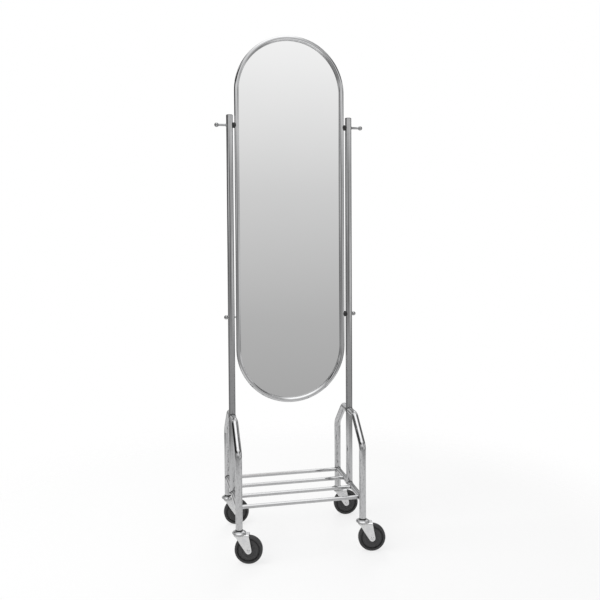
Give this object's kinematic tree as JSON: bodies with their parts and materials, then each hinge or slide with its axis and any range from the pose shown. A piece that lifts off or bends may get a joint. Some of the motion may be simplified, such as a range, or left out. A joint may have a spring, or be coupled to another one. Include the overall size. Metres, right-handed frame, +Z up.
{
  "type": "rolling floor mirror",
  "caption": "Full-length pill-shaped mirror between two chromed tube posts with coat pegs, on a low rod shelf between bent side arches with swivel casters.",
  "frame": {"origin": "on the floor, midway between the four legs", "axes": "+X to the right of somebody facing the glass, -Y towards that person (the front), +Z up"},
  "size_m": [0.5356, 0.3627, 1.7159],
  "materials": {
    "chrome": "bright chromed steel tube and rod",
    "race_chrome": "bright plated pressed steel",
    "zinc_steel": "zinc-plated pressed steel, satin",
    "steel": "plain plated steel",
    "mirror": "silvered float glass",
    "hardboard": "brown hardboard, smooth side out",
    "black_rubber": "black moulded rubber",
    "black_plastic": "black moulded nylon",
    "wheel_plastic": "dark grey moulded plastic",
    "tyre": "dark grey rubber tread, worn satin"
  },
  "bodies": {
    "stand": {"left_post": "chrome", "right_post": "chrome", "left_strut": "chrome", "right_strut": "chrome", "left_arch": "chrome", "right_arch": "chrome", "left_rail": "chrome", "right_rail": "chrome", "shelf_rod_rear": "chrome", "shelf_rod_mid_rear": "chrome", "shelf_rod_mid_front": "chrome", "shelf_rod_front": "chrome", "left_post_cap": "chrome", "right_post_cap": "chrome", "left_coat_peg": "chrome", "right_coat_peg": "chrome", "left_ball_knob": "chrome", "right_ball_knob": "chrome", "upper_left_spacer": "black_rubber", "upper_right_spacer": "black_rubber", "lower_right_spacer": "black_rubber", "frame_inserts": "steel", "mirror_frame": "chrome", "glass_gasket": "black_rubber", "mirror_glass": "mirror", "backing_board": "hardboard", "board_screws": "steel", "front_left_socket": "black_plastic", "front_right_socket": "black_plastic", "rear_left_socket": "black_plastic", "rear_right_socket": "black_plastic", "front_left_race": "race_chrome", "front_right_race": "race_chrome", "rear_left_race": "race_chrome", "rear_right_race": "race_chrome", "caster_stems": "steel", "swivel_balls": "steel"},
    "front_left_swivel": {"front_left_fork": "zinc_steel", "front_left_axle": "zinc_steel", "front_left_sleeve": "steel"},
    "front_left_roller": {"front_left_wheel": "wheel_plastic", "front_left_tyre": "tyre"},
    "front_right_swivel": {"front_right_fork": "zinc_steel", "front_right_axle": "zinc_steel", "front_right_sleeve": "steel"},
    "front_right_roller": {"front_right_wheel": "wheel_plastic", "front_right_tyre": "tyre"},
    "rear_left_swivel": {"rear_left_fork": "zinc_steel", "rear_left_axle": "zinc_steel", "rear_left_sleeve": "steel"},
    "rear_left_roller": {"rear_left_wheel": "wheel_plastic", "rear_left_tyre": "tyre"},
    "rear_right_swivel": {"rear_right_fork": "zinc_steel", "rear_right_axle": "zinc_steel", "rear_right_sleeve": "steel"},
    "rear_right_roller": {"rear_right_wheel": "wheel_plastic", "rear_right_tyre": "tyre"}
  },
  "joints": [
    {"name": "front_left_swivel_turn", "type": "hinge", "parent": "stand", "child": "front_left_swivel", "pos_m": [-0.205, -0.157, 0.096], "axis": [0, 0, 1], "continuous": true},
    {"name": "front_left_wheel_spin", "type": "hinge", "parent": "front_left_swivel", "child": "front_left_roller", "pos_m": [-0.17577, -0.16375, 0.045], "axis": [0.225, 0.9744, 0], "continuous": true},
    {"name": "front_right_swivel_turn", "type": "hinge", "parent": "stand", "child": "front_right_swivel", "pos_m": [0.205, -0.157, 0.096], "axis": [0, 0, 1], "continuous": true},
    {"name": "front_right_wheel_spin", "type": "hinge", "parent": "front_right_swivel", "child": "front_right_roller", "pos_m": [0.23463, -0.16169, 0.045], "axis": [0.1564, 0.9877, 0], "continuous": true},
    {"name": "rear_left_swivel_turn", "type": "hinge", "parent": "stand", "child": "rear_left_swivel", "pos_m": [-0.205, 0.157, 0.096], "axis": [0, 0, 1], "continuous": true},
    {"name": "rear_left_wheel_spin", "type": "hinge", "parent": "rear_left_swivel", "child": "rear_left_roller", "pos_m": [-0.175, 0.157, 0.045], "axis": [0, 1, 0], "continuous": true},
    {"name": "rear_right_swivel_turn", "type": "hinge", "parent": "stand", "child": "rear_right_swivel", "pos_m": [0.205, 0.157, 0.096], "axis": [0, 0, 1], "continuous": true},
    {"name": "rear_right_wheel_spin", "type": "hinge", "parent": "rear_right_swivel", "child": "rear_right_roller", "pos_m": [0.23493, 0.15491, 0.045], "axis": [0.0698, 0.9976, 0], "continuous": true}
  ]
}
